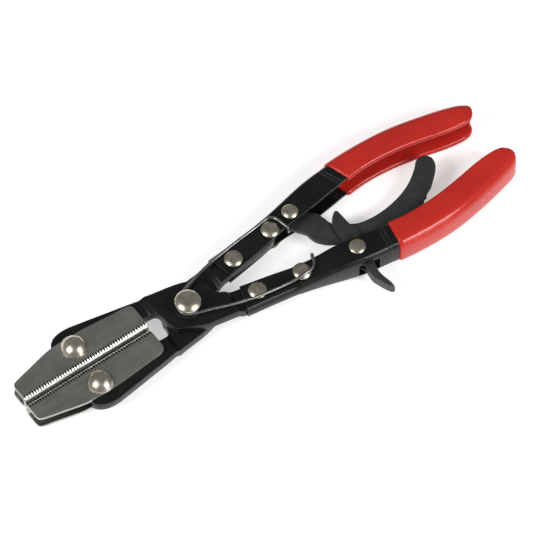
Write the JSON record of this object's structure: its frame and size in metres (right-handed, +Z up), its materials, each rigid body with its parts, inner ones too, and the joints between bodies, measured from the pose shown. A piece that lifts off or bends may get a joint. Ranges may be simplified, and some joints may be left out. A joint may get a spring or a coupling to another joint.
{
  "type": "ratchet-locking pinch-off pliers",
  "caption": "Long hand pliers with swivelling folded jaw pads, a curved ratchet bar with release lever, a handle spring and dipped vinyl grips.",
  "frame": {"origin": "centre of the closed tool's footprint, on the plane it lies on", "axes": "+X from the jaws to the handle ends, +Y across the tool towards the handle that carries the ratchet bar, +Z up out of the flat tool"},
  "size_m": [0.3164, 0.0878, 0.0246],
  "materials": {
    "black_finish": "gloss black",
    "red_vinyl": "smooth dipped vinyl",
    "pad_steel": "brushed, slightly dull",
    "plated_rivet": "bright plated, faint scratches",
    "spring_wire": "blackened wire",
    "dark_steel": "matt dark grey"
  },
  "bodies": {
    "lower_handle_side": {"upper_jaw_arm": "black_finish", "lower_handle": "black_finish", "lower_grip": "red_vinyl", "upper_jaw_rivet": "plated_rivet", "pivot_rivet": "plated_rivet", "pivot_washer": "black_finish", "torsion_spring": "spring_wire", "lower_front_rivet": "plated_rivet", "lower_rear_rivet": "plated_rivet", "lever_rivet": "plated_rivet", "lever_spring": "spring_wire", "lever_spacers": "dark_steel"},
    "upper_handle_side": {"lower_jaw_arm": "black_finish", "upper_handle": "black_finish", "upper_grip": "red_vinyl", "lower_jaw_rivet": "plated_rivet", "torsion_spring_upper_leg": "spring_wire", "upper_front_rivet": "plated_rivet", "upper_rear_rivet": "plated_rivet", "ratchet_rivet": "plated_rivet", "ratchet_spacers": "dark_steel"},
    "ratchet_bar": {"ratchet_bar": "dark_steel"},
    "release_lever": {"release_lever": "dark_steel", "lever_catch": "dark_steel"},
    "upper_jaw_pad": {"upper_jaw_pad": "pad_steel"},
    "lower_jaw_pad": {"lower_jaw_pad": "pad_steel"}
  },
  "joints": [
    {"name": "main_pivot", "type": "hinge", "parent": "lower_handle_side", "child": "upper_handle_side", "pos_m": [-0.04885, 0.00849, 0.0105], "axis": [0, 0, 1], "range_deg": [0, 30]},
    {"name": "ratchet_bar_swing", "type": "hinge", "parent": "upper_handle_side", "child": "ratchet_bar", "pos_m": [0.03205, 0.02739, 0.0105], "axis": [0, 0, 1], "range_deg": [-68.5, 0.5]},
    {"name": "release_lever_pivot", "type": "hinge", "parent": "lower_handle_side", "child": "release_lever", "pos_m": [0.05045, -0.01291, 0.0105], "axis": [0, 0, 1], "range_deg": [0, 12], "stiffness_Nm_per_rad": 0.25, "springref_deg": -5.73},
    {"name": "upper_pad_swivel", "type": "hinge", "parent": "lower_handle_side", "child": "upper_jaw_pad", "pos_m": [-0.11585, 0.02199, 0.0105], "axis": [0, 0, 1], "range_deg": [-0.5, 3.5]},
    {"name": "lower_pad_swivel", "type": "hinge", "parent": "upper_handle_side", "child": "lower_jaw_pad", "pos_m": [-0.11585, -0.00501, 0.0105], "axis": [0, 0, 1], "range_deg": [-3.5, 0.5]}
  ],
  "couplings": [
    {"joint": "ratchet_bar_swing", "follows": "main_pivot", "ratio": -2.25},
    {"joint": "upper_pad_swivel", "follows": "main_pivot", "ratio": 0.1},
    {"joint": "lower_pad_swivel", "follows": "main_pivot", "ratio": -0.1}
  ]
}
